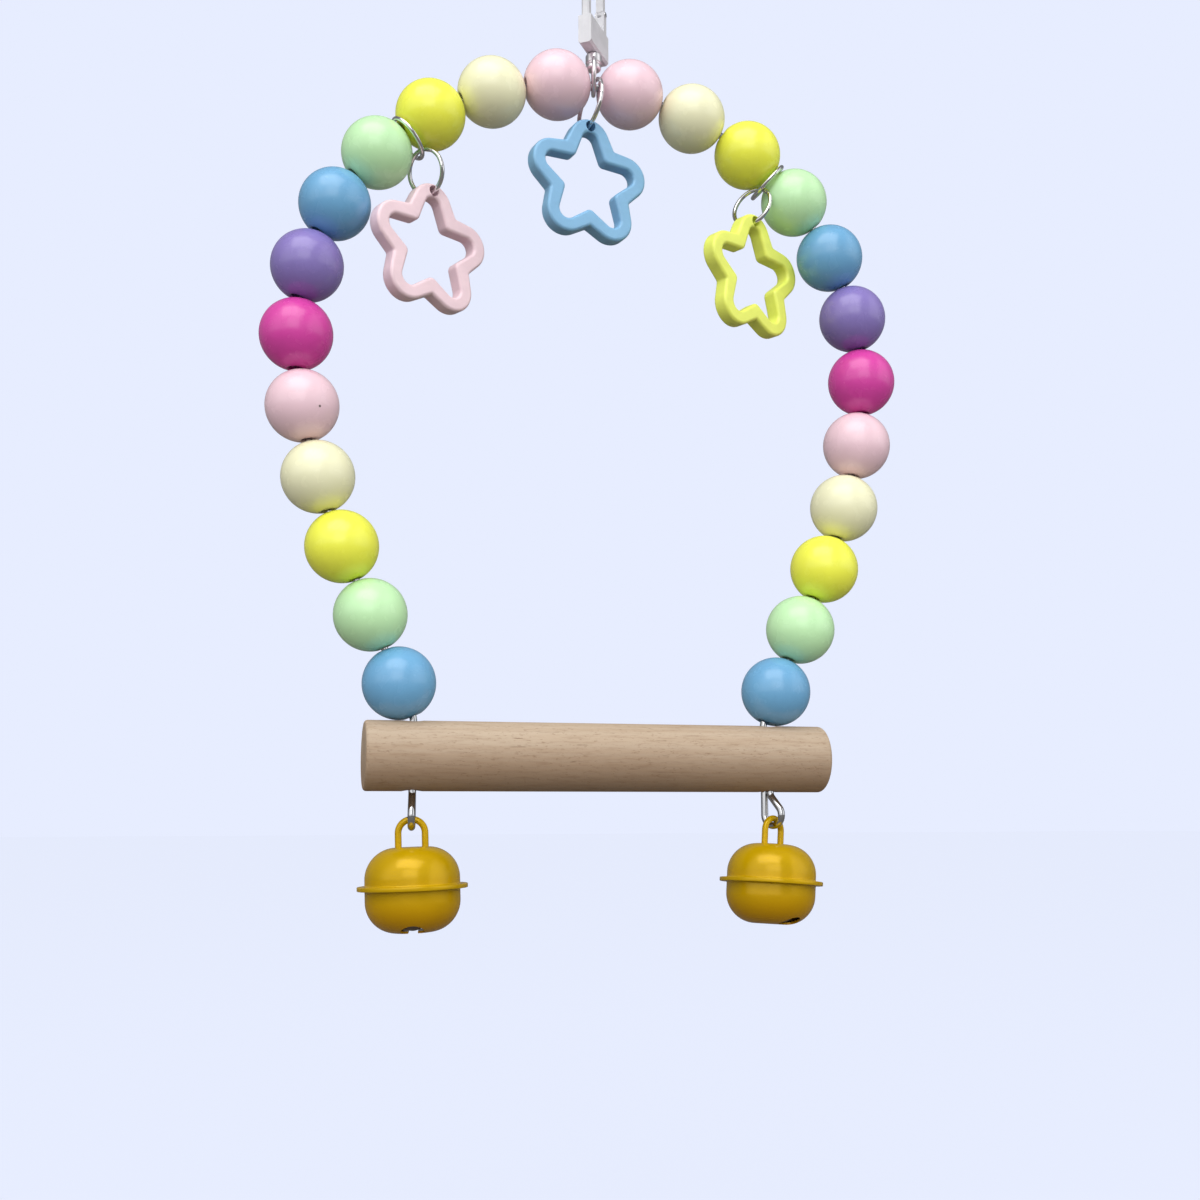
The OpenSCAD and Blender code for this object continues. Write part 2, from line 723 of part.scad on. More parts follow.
// The loop's wire: a half round on two legs, headed over inside the crown
module bell_loop(side) {
    head_top = bell_up - bell_wall - turning_gap;
    leg_l = bell_up + bell_loop_rise - bell_loop_r - head_top + loop_head_h;
    color("goldenrod") bell_frame(side) translate([0, 0, head_top - loop_head_h]) {
        translate([-bell_loop_r, 0, 0]) rotate([0, -90, 0])
            bent_wire([[leg_l, bell_loop_r, 180], [leg_l, 0, 0]], bell_wire);
        for (leg = [-1, 1]) translate([leg * bell_loop_r, 0, 0]) cylinder(d = loop_head_d, h = loop_head_h);
    }
}

module bell_pellet(side) {
    color("dimgray") bell_frame(side) translate([0, -bell_flat_r, pellet_z]) sphere(d = pellet_d);
}

hook_body();
gate();
gate_pin();
gate_spring();
swivel_rivet();
swivel_loop();
arch_wire();
perch();
centre_ring();
left_star();
centre_star();
right_star();
for (side = [LEFT, RIGHT]) {
    for (i = [0 : beads_per_side - 1])
        bead(side, i);
    upper_ring(side);
    lower_ring(side);
    bell_cap(side);
    bell_cup(side);
    bell_loop(side);
    bell_pellet(side);
}
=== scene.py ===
"""Bird swing: beads on a wire arch, a wooden perch, stars on rings and two bells, in a pale studio."""

import json
from math import acos, asin, atan2, cos, degrees, pi, radians, sin, sqrt

import bmesh
import bpy
from mathutils import Matrix, Vector


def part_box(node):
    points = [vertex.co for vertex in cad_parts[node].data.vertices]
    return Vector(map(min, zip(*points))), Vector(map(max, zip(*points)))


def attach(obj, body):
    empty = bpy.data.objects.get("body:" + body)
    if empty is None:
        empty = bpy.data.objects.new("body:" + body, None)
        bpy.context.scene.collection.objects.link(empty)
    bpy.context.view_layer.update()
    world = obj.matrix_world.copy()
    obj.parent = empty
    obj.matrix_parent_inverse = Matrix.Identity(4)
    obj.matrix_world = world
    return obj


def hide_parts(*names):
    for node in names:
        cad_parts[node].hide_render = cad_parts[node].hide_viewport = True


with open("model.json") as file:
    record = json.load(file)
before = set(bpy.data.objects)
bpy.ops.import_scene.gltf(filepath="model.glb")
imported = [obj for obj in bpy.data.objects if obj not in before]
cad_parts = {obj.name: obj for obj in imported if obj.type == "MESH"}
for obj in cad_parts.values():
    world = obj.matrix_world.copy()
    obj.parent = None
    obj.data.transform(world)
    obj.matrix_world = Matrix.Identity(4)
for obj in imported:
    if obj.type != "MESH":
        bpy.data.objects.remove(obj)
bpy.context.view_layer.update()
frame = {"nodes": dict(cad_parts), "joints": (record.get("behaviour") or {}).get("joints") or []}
joints = {joint["name"]: joint for joint in frame["joints"]}

# the frame is in metres, and turns are given in degrees
MM = 0.001
LEFT, RIGHT = -1, 1
SIDES = {LEFT: "left", RIGHT: "right"}
X, Y, Z = Vector((1, 0, 0)), Vector((0, 1, 0)), Vector((0, 0, 1))

# camera
SENSOR_W = 36
LENS = 41.42
LENS_SHIFT = (-0.0175, 0.0375)
CAMERA_AT = Vector((-73.16, -296.31, -208.17)) * MM
CAMERA_RIGHT = Vector((0.96606, -0.25828, -0.00342))
CAMERA_UP = Vector((-0.02984, -0.12473, 0.99174))

# studio: each softbox has its place, width, height and power
SOFTBOXES = {
    "top_box": ((-0.20, -0.45, 0.62), 0.9, 0.6, 3.5),
    "front_box": ((-0.30, -1.30, 0.35), 0.9, 0.7, 2),
}
SOFTBOXES_AIM = (0, 0, -0.12)
FLOOR_SIZE, FLOOR_BACK, FLOOR_Z = 9, 3, -0.300
FLOOR_GLOW_SHARE, FLOOR_GLOW = 0.9, 1.008

# meshes: points closer than this are one, and edges sharper than this stay sharp
MERGE = 0.0004 * MM
CREASE = 32
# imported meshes: coarser points, faces taken as flat, and edges that are rounded over
SOLID_MERGE = 0.002 * MM
SOLID_FLAT, SOLID_EDGE = 1, 28

# wires
ARCH_WIRE = 0.8 * MM
RING_WIRE = 0.5 * MM
BELL_WIRE = 0.7 * MM

# arch, from its apex down
CROWN_R = 66.4 * MM
CROWN_TURN = 97.5
SIDE_R = 145 * MM
SIDE_TURN = 16
KNEE_R = 4 * MM
STRAND_X = 39.8 * MM
EYE_R = 2.4 * MM
EYE_H = 5 * MM
EYE_NECK_R = 1.6 * MM
EYE_GAP = 0.1 * MM
TAIL = 6 * MM
EYE_TURN = {LEFT: -8, RIGHT: 30}

# beads
BEAD_R = 7.9 * MM
BORE_R = 1.4 * MM
MOUTH_ROUND = 0.45 * MM
BEADS_PER_SIDE = 12
BEAD_COLOURS = ("pink", "cream", "yellow", "mint", "blue", "purple", "magenta") * 2
SPECKED_BEAD = "left_bead_08"
SPECK_AT = (-61.267 * MM, -6.87 * MM, -120.515 * MM)
SPECK_R, SPECK_FADE_R = 0.16 * MM, 0.34 * MM

# perch
RIM_ROUND = {LEFT: 0.7 * MM, RIGHT: 0.9 * MM}
HOLE_R = 1.9 * MM
HOLE_LIP = 0.35 * MM
LIP_FROM, LIP_DEPTH = 0.02 * MM, 0.5 * MM
PITH_OFF, PITH_BELOW = 11 * MM, 6 * MM
RING_PITCH = 1.35 * MM

# rings and stars
SIDE_RING_R = 4.9 * MM
CENTRE_RING_R = 6 * MM
RING_CUT = 1.1
SIDE_RING_TURN, SIDE_RING_LEAN = 40, 15
CENTRE_RING_TURN, CENTRE_RING_LEAN = 12, 8
STAR_TIPS = 5
TIP_TURN = 360 / STAR_TIPS
STAR_T = 3.8 * MM
# the rounding of a star's rim, and how sharp an edge is a rim
STAR_EDGE, STAR_RIM = 0.75 * MM, 60
LOBE_AT, LOBE_R = 9.97 * MM, 5.15 * MM
HOLLOW_AT, HOLLOW_R = 11.5 * MM, 0.65 * MM
TIP_AT, TIP_R = 9.85 * MM, 2.05 * MM
CORNER_AT, CORNER_R = 8.36 * MM, 1.47 * MM
STAR_HOLE_AT, STAR_HOLE_R = 13.4 * MM, 1.25 * MM
STAR_TURN = {"left_star": 28, "centre_star": 14, "right_star": 28}

# bells
BELL_R = 9.9 * MM
BELL_UP, BELL_DOWN = 8.3 * MM, 9.3 * MM
BELL_FLAT = 3.4 * MM
BELL_WALL = 0.45 * MM
FLANGE_R = 11.5 * MM
FLANGE_FILLET = 0.35 * MM
FLANGE_LIP = 0.16 * MM
BELL_LOOP_R = 2.8 * MM
BELL_LOOP_RISE = 5.75 * MM
BELL_LOOP_FIT = 0.02 * MM
BELL_LOOP_TAIL = 0.95 * MM
BELL_LINK = 1.6 * MM
SOUND_HOLE_R, SOUND_HOLE_AT = 2.45 * MM, 5.4 * MM
SLOT_W = 2 * MM
PELLET_R, PELLET_AT, PELLET_GAP = 3.2 * MM, 3.4 * MM, 0.1 * MM
BELL_LEAN = {LEFT: -2, RIGHT: 5}

# clip and swivel
CLIP_EDGE, GATE_EDGE, RIVET_EDGE = 0.22 * MM, 0.16 * MM, 0.05 * MM
COLLAR_H, COLLAR_R, COLLAR_BORE_R = 2.65 * MM, 1.9 * MM, 1.0 * MM
SWIVEL_LOOP_R = 4.1 * MM
SWIVEL_LOOP_TURN = 12


# shader maths

class Socket:
    """An output of a node, that can be used in a sum."""

    def __init__(self, shader, output):
        self.shader = shader
        self.output = output

    def math(self, operation, other=0.0, turned=False):
        sides = [other, self] if turned else [self, other]
        return self.shader.node("Math", {"operation": operation}, sides)

    def __add__(self, other):
        return self.math("ADD", other)

    def __sub__(self, other):
        return self.math("SUBTRACT", other)

    def __rsub__(self, other):
        return self.math("SUBTRACT", other, turned=True)

    def __mul__(self, other):
        return self.math("MULTIPLY", other)

    def __pow__(self, other):
        return self.math("POWER", other)

    __radd__ = __add__
    __rmul__ = __mul__


class Shader:
    """The node tree of one material or of the world."""

    def __init__(self, tree):
        self.tree = tree

    def node(self, kind, settings=None, values=(), output=0):
        """Adds a node: its settings first, then what goes into its sockets, by place or by name."""
        new = self.tree.nodes.new("ShaderNode" + kind)
        for name, value in (settings or {}).items():
            setattr(new, name, value)
        pairs = values.items() if isinstance(values, dict) else enumerate(values)
        for key, value in pairs:
            self.feed(new.inputs[key], value)
        return Socket(self, new.outputs[output])

    def feed(self, inlet, value):
        if isinstance(value, Socket):
            self.tree.links.new(value.output, inlet)
        else:
            inlet.default_value = value

    def place(self, scale=(1, 1, 1), shift=(0, 0, 0)):
        """Object coordinates, scaled and then shifted."""
        where = self.node("TexCoord", output="Object")
        return self.node(
            "Mapping", {"vector_type": "POINT"}, {"Vector": where, "Location": shift, "Scale": scale})

    def split(self, vector):
        """The three parts of a vector."""
        first = self.node("SeparateXYZ", None, [vector])
        return [Socket(self, output) for output in first.output.node.outputs]

    def height(self, level):
        """How high a place is above a level of the object's own Z."""
        return self.split(self.place())[2] - level

    def noise(self, vector, scale, detail, roughness=0.5, distortion=0):
        return self.node(
            "TexNoise", None,
            {"Vector": vector, "Scale": scale, "Detail": detail, "Roughness": roughness,
             "Distortion": distortion})

    def band(self, value, low, high, out_low=0, out_high=1):
        """A value carried from one range into another, with soft ends."""
        return self.node(
            "MapRange", {"interpolation_type": "SMOOTHSTEP"},
            {"Value": value, "From Min": low, "From Max": high, "To Min": out_low, "To Max": out_high})

    def blend(self, share, first, second, how="MIX"):
        """One colour into another, by a share from 0 to 1."""
        return self.node(
            "Mix", {"data_type": "RGBA", "blend_type": how}, {0: share, 6: first, 7: second}, output=2)


class Finish(Shader):
    """A material: its own settings are constants, and only what varies is a node."""

    def __init__(self, name, **constants):
        self.material = bpy.data.materials.new(name)
        self.material.use_nodes = True
        super().__init__(self.material.node_tree)
        self.surface = self.tree.nodes["Principled BSDF"]
        for key, value in constants.items():
            self.set(key.replace("_", " "), value)

    def set(self, inlet, value):
        self.feed(self.surface.inputs[inlet], value)

    def bump(self, height, distance, strength):
        self.set("Normal", self.node("Bump", None, {
            "Strength": strength, "Distance": distance, "Height": height}))


def paint(red, green, blue):
    """A colour on the page's 0 to 255 scale, as a shader's linear colour."""
    def linear(c):
        c = c / 255
        return c / 12.92 if c <= 0.04045 else ((c + 0.055) / 1.055) ** 2.4
    return (linear(red), linear(green), linear(blue), 1)


def shade(colour, factor):
    return tuple(c * factor for c in colour[:3]) + (1,)


def middle(node):
    """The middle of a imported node's box."""
    low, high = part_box(node)
    return (low + high) / 2


# camera, light and stage

BACKGROUND = paint(231, 237, 255)
SKY_LOW, SKY_HIGH = (0.27, 0.255, 0.235, 1), (0.68, 0.68, 0.67, 1)
FILL = (1.27, 1.28, 1.26, 1)
ROOM_PALE, ROOM_DARK, ROOM_FLOOR = (1.15, 1.15, 1.16, 1), (0.20, 0.205, 0.22, 1), (0.06, 0.055, 0.05, 1)
FLOOR_UNSEEN = (0.16, 0.15, 0.14, 1)


def add_camera():
    """A camera that stands where the picture was taken."""
    camera = bpy.data.cameras.new("camera")
    camera.sensor_width = SENSOR_W
    camera.lens = LENS
    camera.shift_x, camera.shift_y = LENS_SHIFT
    camera.clip_start = 0.01
    camera.clip_end = 50
    back = CAMERA_RIGHT.cross(CAMERA_UP)
    place = Matrix((CAMERA_RIGHT, CAMERA_UP, back)).transposed().to_4x4()
    place.translation = CAMERA_AT
    holder = bpy.data.objects.new("camera", camera)
    holder.matrix_world = place
    bpy.context.scene.collection.objects.link(holder)
    bpy.context.scene.camera = holder


def add_softbox(name, place, width, height, power):
    """A soft square light that faces the middle of the swing."""
    lamp = bpy.data.lights.new(name, "AREA")
    lamp.shape = "RECTANGLE"
    lamp.size = width
    lamp.size_y = height
    lamp.energy = power
    holder = bpy.data.objects.new(name, lamp)
    towards = (Vector(SOFTBOXES_AIM) - Vector(place)).normalized()
    holder.matrix_world = Matrix.Translation(place) @ towards.to_track_quat("-Z", "Y").to_matrix().to_4x4()
    bpy.context.scene.collection.objects.link(holder)


def light_the_world():
    """Soft light on every piece, a room with dark parts in polished metal, and a plain backdrop."""
    world = bpy.data.worlds.new("studio")
    bpy.context.scene.world = world
    world.use_nodes = True
    sky = Shader(world.node_tree)
    across, along, up = sky.split(sky.node("TexCoord", output="Generated"))
    seen = sky.node("LightPath", output="Is Camera Ray")
    mirrored = sky.node("LightPath", output="Is Glossy Ray")
    # soft light from above, weaker and warmer from below
    soft = sky.blend(sky.band(up, -0.9, 0.4), SKY_LOW, SKY_HIGH)
    # a pale wall behind the camera fills the swing's front and its undersides
    ahead = along * -0.88 - up * 0.47
    soft = sky.blend(sky.band(ahead, -0.3, 0.9), soft, FILL, "ADD")
    # polished metal sees the pale front of the room, one dark strip in it, and a dim back and floor
    front = sky.band(along * -1, -0.20, 0.40)
    strip = sky.band(across, 0.02, 0.12) * sky.band(across, 0.62, 0.50)
    room = sky.blend(front * (1 - strip * 0.97), ROOM_DARK, ROOM_PALE)
    room = sky.blend(sky.band(up, -0.05, -0.50), room, ROOM_FLOOR)
    light = sky.blend(seen, sky.blend(mirrored, soft, room), BACKGROUND)
    sky.feed(sky.tree.nodes["Background"].inputs["Color"], light)


def lay_floor():
    """A pale floor that keeps a faint shadow and has the background's colour."""
    bm = bmesh.new()
    bmesh.ops.create_grid(bm, x_segments=2, y_segments=2, size=FLOOR_SIZE)
    bmesh.ops.translate(bm, verts=bm.verts, vec=(0, FLOOR_BACK, FLOOR_Z))
    mesh = bpy.data.meshes.new("floor")
    bm.to_mesh(mesh)
    bm.free()
    floor = bpy.data.objects.new("floor", mesh)
    bpy.context.scene.collection.objects.link(floor)
    finish = Finish("floor", Roughness=0.9)
    seen = finish.node("LightPath", output="Is Camera Ray")
    # what it throws back on the swing's underside is weak
    finish.set("Base Color", finish.blend(seen, FLOOR_UNSEEN, shade(BACKGROUND, 0.9)))
    glow = finish.node("Emission", None, {"Color": BACKGROUND, "Strength": FLOOR_GLOW})
    surface = Socket(finish, finish.surface.outputs[0])
    mixed = finish.node("MixShader", None, [seen * FLOOR_GLOW_SHARE, surface, glow])
    finish.feed(finish.tree.nodes["Material Output"].inputs["Surface"], mixed)
    mesh.materials.append(finish.material)


# finishes

# the range that a noise mostly keeps to
MOST = (0.3, 0.7)
BEAD_PAINTS = {
    "pink": paint(240, 205, 217),
    "cream": paint(242, 240, 202),
    "yellow": paint(245, 247, 80),
    "mint": paint(196, 240, 185),
    "blue": paint(110, 169, 212),
    "purple": paint(136, 120, 190),
    "magenta": paint(213, 66, 163),
}
DUST = (0.05, 0.03, 0.03, 1)
STAR_PAINTS = {
    "pink_star": paint(241, 212, 221),
    "blue_star": paint(131, 182, 221),
    "lime_star": paint(238, 247, 108),
}
# each steel has its colour and the range of its roughness
STEELS = {
    "arch_steel": ((0.62, 0.63, 0.65, 1), 0.09, 0.16),
    "bright_steel": ((0.80, 0.80, 0.81, 1), 0.04, 0.09),
    "spring_steel": ((0.55, 0.56, 0.58, 1), 0.25, 0.40),
    "pellet_steel": ((0.24, 0.19, 0.16, 1), 0.35, 0.55),
    "satin_nickel": ((0.88, 0.86, 0.88, 1), 0.28, 0.38),
}
# the bell's own yellow, then a painted shade with a warm painted reflection below its seam, and how far
# down that painted shade deepens
BELL_YELLOW, BELL_PAINTED_SHADE = paint(198, 159, 1), paint(202, 142, 2)
BELL_SHADE_DEPTH = 9 * MM
# the wood's pale tone, a darker tone that is partly random and partly painted shade, and the painted shade
# of the underside
WOOD_LIGHT, WOOD_MID_AND_SHADE, WOOD_PAINTED_SHADE = paint(190, 171, 150), paint(173, 150, 127), paint(140, 104, 74)
WOOD_RING, WOOD_FIBRE = paint(168, 138, 110), paint(128, 96, 70)
WOOD_PORE, WOOD_FLECK = paint(118, 86, 60), paint(128, 94, 66)
# heights about the dowel's axis over which the painted shade comes in
WOOD_SHADE_FROM, WOOD_SHADE_TO = 5 * MM, -6 * MM
CLIP_DULL, CLIP_CLEAN = paint(204, 204, 210), paint(214, 214, 220)


def bead_finish(name, colour, speck=None):
    """Glossy moulded plastic, a little uneven in colour, with the faintest orange peel."""
    f = Finish(name, Coat_Weight=0.25, Coat_Roughness=0.12)
    where = f.place()
    tint = f.blend(f.band(f.noise(where, 90, 2), *MOST), shade(colour, 0.965), shade(colour, 1.02))
    if speck:
        # one dark grain of dust, moulded in
        near = f.node("VectorMath", {"operation": "DISTANCE"}, [where, speck], output="Value")
        tint = f.blend(f.band(near, SPECK_R, SPECK_FADE_R, 1, 0), tint, DUST)
    f.set("Base Color", tint)
    f.set("Roughness", f.band(f.noise(where, 400, 1), *MOST, 0.24, 0.28))
    f.bump(f.noise(where, 420, 1), 0.003 * MM, 0.2)
    return f.material


def star_finish(name, colour):
    """Satin moulded plastic with soft flow marks."""
    f = Finish(name)
    where = f.place()
    flow = f.noise(f.place(scale=(1, 1, 2.2)), 130, 3, 0.55, 0.6)
    f.set("Base Color", f.blend(f.band(flow, 0.3, 0.75), shade(colour, 0.95), shade(colour, 1.03)))
    f.set("Roughness", f.band(f.noise(where, 900, 2), *MOST, 0.30, 0.42))
    f.bump(f.noise(where, 420, 3), 0.02 * MM, 0.4)
    return f.material


def steel_finish(name, colour, low, high):
    """Drawn and polished wire: fine uneven gloss, with hair-fine marks."""
    f = Finish(name, Metallic=1.0)
    where = f.place()
    marks = f.noise(where, 700, 4, 0.6)
    dull = f.noise(where, 160, 2)
    f.set("Base Color", f.blend(f.band(dull, 0.35, 0.7), colour, shade(colour, 0.88)))
    f.set("Roughness", f.band(marks, 0.3, 0.75, low, high))
    f.bump(marks, 0.004 * MM, 0.5)
    return f.material


def enamel_finish(name):
    """Glossy yellow enamel over metal: faint pooling, and a painted shade below the seam, darker and
    redder, that stands in for the warm reflection from below.
    """
    f = Finish(name, Metallic=0.2, Coat_Weight=0.12, Coat_Roughness=0.08, Specular_IOR_Level=0.2)
    where = f.place()
    pools = f.noise(where, 110, 3, 0.5, 0.3)
    tint = f.blend(f.band(pools, 0.3, 0.75), shade(BELL_YELLOW, 0.94), shade(BELL_YELLOW, 1.04))
    # painted shade and painted reflection: below the seam the yellow turns darker and redder
    shade_below_seam = f.band(f.height(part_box("left_bell_cup")[1].z), 0, -BELL_SHADE_DEPTH)
    f.set("Base Color", f.blend(shade_below_seam * 0.75, tint, BELL_PAINTED_SHADE))
    f.set("Roughness", f.band(f.noise(where, 300, 1), *MOST, 0.20, 0.26))
    f.bump(f.noise(where, 150, 1), 0.004 * MM, 0.12)
    return f.material


def perch_finish(name):
    """Sanded pale hardwood: long grain, short dark pores and flecks, rings on the sawn ends, and painted
    shade on its lower half.
    """
    f = Finish(name, Specular_IOR_Level=0.3)
    axis = middle("perch")
    wander = f.noise(f.place(scale=(0.35, 1, 1)), 40, 2)
    _, across, up = f.split(f.place(shift=(0, PITH_OFF - axis.y, -PITH_BELOW - axis.z)))
    from_pith = (across * across + up * up) ** 0.5
    rings = ((from_pith * (2 * pi / RING_PITCH) + wander * 9).math("SINE") + 1) * 0.5
    fibre = f.noise(f.place(scale=(0.11, 1, 1)), 1700, 4, 0.7)
    fleck = f.band(f.noise(f.place(scale=(0.35, 1, 1)), 2600, 2, 0.6), 0.58, 0.72)
    cloud = f.band(f.noise(f.place(scale=(0.12, 1, 1)), 120, 3), *MOST)
    pores = f.band(f.noise(f.place(scale=(0.10, 1, 1)), 2300, 2), 0.66, 0.74)
    pores = pores * f.band(f.noise(f.place(scale=(0.3, 1, 1)), 75, 2), 0.42, 0.62)
    # painted shade: the dowel turns darker and browner towards its underside
    under = f.band(f.height(axis.z), WOOD_SHADE_FROM, WOOD_SHADE_TO)
    tint = f.blend(cloud * 0.6 + under * 0.4, WOOD_LIGHT, WOOD_MID_AND_SHADE)
    for share, colour in (
            (under * 0.45, WOOD_PAINTED_SHADE), (rings * 0.22, WOOD_RING),
            (f.band(fibre, 0.45, 0.75) * 0.34, WOOD_FIBRE), (pores * 0.55, WOOD_PORE),
            (fleck * 0.38, WOOD_FLECK)):
        tint = f.blend(share, tint, colour)
    f.set("Base Color", tint)
    f.set("Roughness", f.band(fibre, *MOST, 0.58, 0.74))
    f.bump(fibre * 0.7 - pores - fleck * 0.6, 0.06 * MM, 0.8)
    return f.material


def clip_finish(name):
    """Pale baked paint over a die casting: slightly pebbled, with a soft sheen."""
    f = Finish(name, Coat_Weight=0.25, Coat_Roughness=0.2)
    where = f.place()
    cast = f.noise(where, 260, 3)
    f.set("Base Color", f.blend(f.band(cast, *MOST), CLIP_DULL, CLIP_CLEAN))
    f.set("Roughness", f.band(f.noise(where, 800, 2), *MOST, 0.30, 0.44))
    f.bump(cast, 0.03 * MM, 0.4)
    return f.material


# shop tools

def finish_piece(bm, name, body, slot, material, *nodes):
    """Makes a piece of a mesh, smooth but for its creases, that rides on a body and stands for nodes."""
    bmesh.ops.remove_doubles(bm, verts=bm.verts, dist=MERGE)
    bmesh.ops.recalc_face_normals(bm, faces=bm.faces)
    for face in bm.faces:
        face.smooth = True
    for edge in bm.edges:
        edge.smooth = len(edge.link_faces) == 2 and edge.calc_face_angle(0) < radians(CREASE)
    mesh = bpy.data.meshes.new(name)
    bm.to_mesh(mesh)
    bm.free()
    mesh.materials.append(material)
    piece = bpy.data.objects.new(name, mesh)
    bpy.context.scene.collection.objects.link(piece)
    # flat faces keep their own shading beside rounded edges
    flat = piece.modifiers.new("flat", "WEIGHTED_NORMAL")
    flat.keep_sharp = True
    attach(piece, body)
    if nodes:
        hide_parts(*nodes)


def as_object(bm, name):
    """Leaves a mesh in the scene as an object."""
    bmesh.ops.recalc_face_normals(bm, faces=bm.faces)
    mesh = bpy.data.meshes.new(name)
    bm.to_mesh(mesh)
    bm.free()
    thing = bpy.data.objects.new(name, mesh)
    bpy.context.scene.collection.objects.link(thing)
    return thing


def drill(bm, *bits):
    """Cuts closed meshes out of a closed mesh."""
    work = as_object(bm, "work")
    tools = [as_object(bit, "bit") for bit in bits]
    for tool in tools:
        cut = work.modifiers.new("cut", "BOOLEAN")
        cut.operation = "DIFFERENCE"
        cut.solver = "EXACT"
        cut.object = tool
    cleared = work.evaluated_get(bpy.context.evaluated_depsgraph_get())
    drilled = bpy.data.meshes.new_from_object(cleared)
    result = bmesh.new()
    result.from_mesh(drilled)
    for mesh in [drilled, work.data] + [tool.data for tool in tools]:
        bpy.data.meshes.remove(mesh)
    return result


class Outline:
    """A line drawn in the XZ plane with straight strokes and arcs, to be spun or filled."""

    def __init__(self, x, z):
        self.bm = bmesh.new()
        self.start = self.end = self.bm.verts.new((x, 0, z))

    def line(self, x, z):
        """A straight stroke to the point x, z."""
        step = bmesh.ops.extrude_vert_indiv(self.bm, verts=[self.end])
        self.end = step["verts"][0]
        self.end.co = (x, 0, z)
        return self

    def arc(self, x, z, turn, steps):
        """Round the point x, z: a positive turn goes from +Z towards +X."""
        step = bmesh.ops.spin(
            self.bm, geom=[self.end], cent=(x, 0, z), axis=(0, 1, 0), angle=radians(turn), steps=steps)
        self.end = [v for v in step["geom_last"] if isinstance(v, bmesh.types.BMVert)][0]
        return self

    def close(self):
        """Joins the last point to the first."""
        self.bm.edges.new((self.end, self.start))
        return self

    def spin(self, segments=64):
        """Spins the half section about Z into a closed piece."""
        bmesh.ops.spin(
            self.bm, geom=self.bm.verts[:] + self.bm.edges[:], cent=(0, 0, 0), axis=(0, 0, 1),
            angle=2 * pi, steps=segments, use_merge=True)
        bmesh.ops.remove_doubles(self.bm, verts=self.bm.verts, dist=MERGE)
        return self.bm


class Wire:
    """A round wire that is bent as it is drawn, starting at a place along a heading."""

    def __init__(self, start, heading, inward, radius, sides=20, bm=None):
        self.bm = bm or bmesh.new()
        self.at = Vector(start)
        self.heading = Vector(heading).normalized()
        self.inward = Vector(inward).normalized()
        place = self.heading.to_track_quat("Z", "X").to_matrix().to_4x4()
        place.translation = self.at
        made = bmesh.ops.create_circle(self.bm, cap_ends=False, segments=sides, radius=radius, matrix=place)
        self.first = self.tip = list({e for v in made["verts"] for e in v.link_edges})

    def face(self, inward):
        """Turns to bend towards another side."""
        self.inward = Vector(inward).normalized()
        return self

    def run(self, length, steps=1):
        """Goes straight on."""
        for _ in range(steps):
            made = bmesh.ops.extrude_edge_only(self.bm, edges=self.tip)
            verts = [g for g in made["geom"] if isinstance(g, bmesh.types.BMVert)]
            bmesh.ops.translate(self.bm, verts=verts, vec=self.heading * (length / steps))
            self.tip = [g for g in made["geom"] if isinstance(g, bmesh.types.BMEdge)
                        and all(v in verts for v in g.verts)]
        self.at = self.at + self.heading * length
        return self

    def bend(self, radius, turn, steps):
        """Bends towards the inward side, or away from it where the turn is negative."""
        towards = self.inward if turn > 0 else -self.inward
        centre = self.at + towards * radius
        axis = self.heading.cross(towards)
        made = bmesh.ops.spin(
            self.bm, geom=self.tip, cent=centre, axis=axis, angle=radians(abs(turn)), steps=steps)
        self.tip = [g for g in made["geom_last"] if isinstance(g, bmesh.types.BMEdge)]
        turned = Matrix.Rotation(radians(abs(turn)), 3, axis)
        self.at = centre + turned @ (self.at - centre)
        self.heading = turned @ self.heading
        self.inward = turned @ self.inward
        return self

    def cap(self, *ends):
        """Closes the wire's ends."""
        for edges in ends:
            bmesh.ops.edgeloop_fill(self.bm, edges=edges)
        return self


def aim(bm, centre, axis):
    """Turns a mesh made about Z so that it points along an axis, and puts it in its place."""
    place = Vector(axis).to_track_quat("Z", "X").to_matrix().to_4x4()
    place.translation = Vector(centre)
    bmesh.ops.transform(bm, matrix=place, verts=bm.verts)


def round_bar(radius, low, high, x=0, y=0, segments=32):
    """An upright bar, which drills a round hole."""
    bar = Outline(0, low).line(radius, low).line(radius, high).line(0, high).spin(segments)
    bmesh.ops.translate(bar, verts=bar.verts, vec=(x, y, 0))
    return bar


# arch

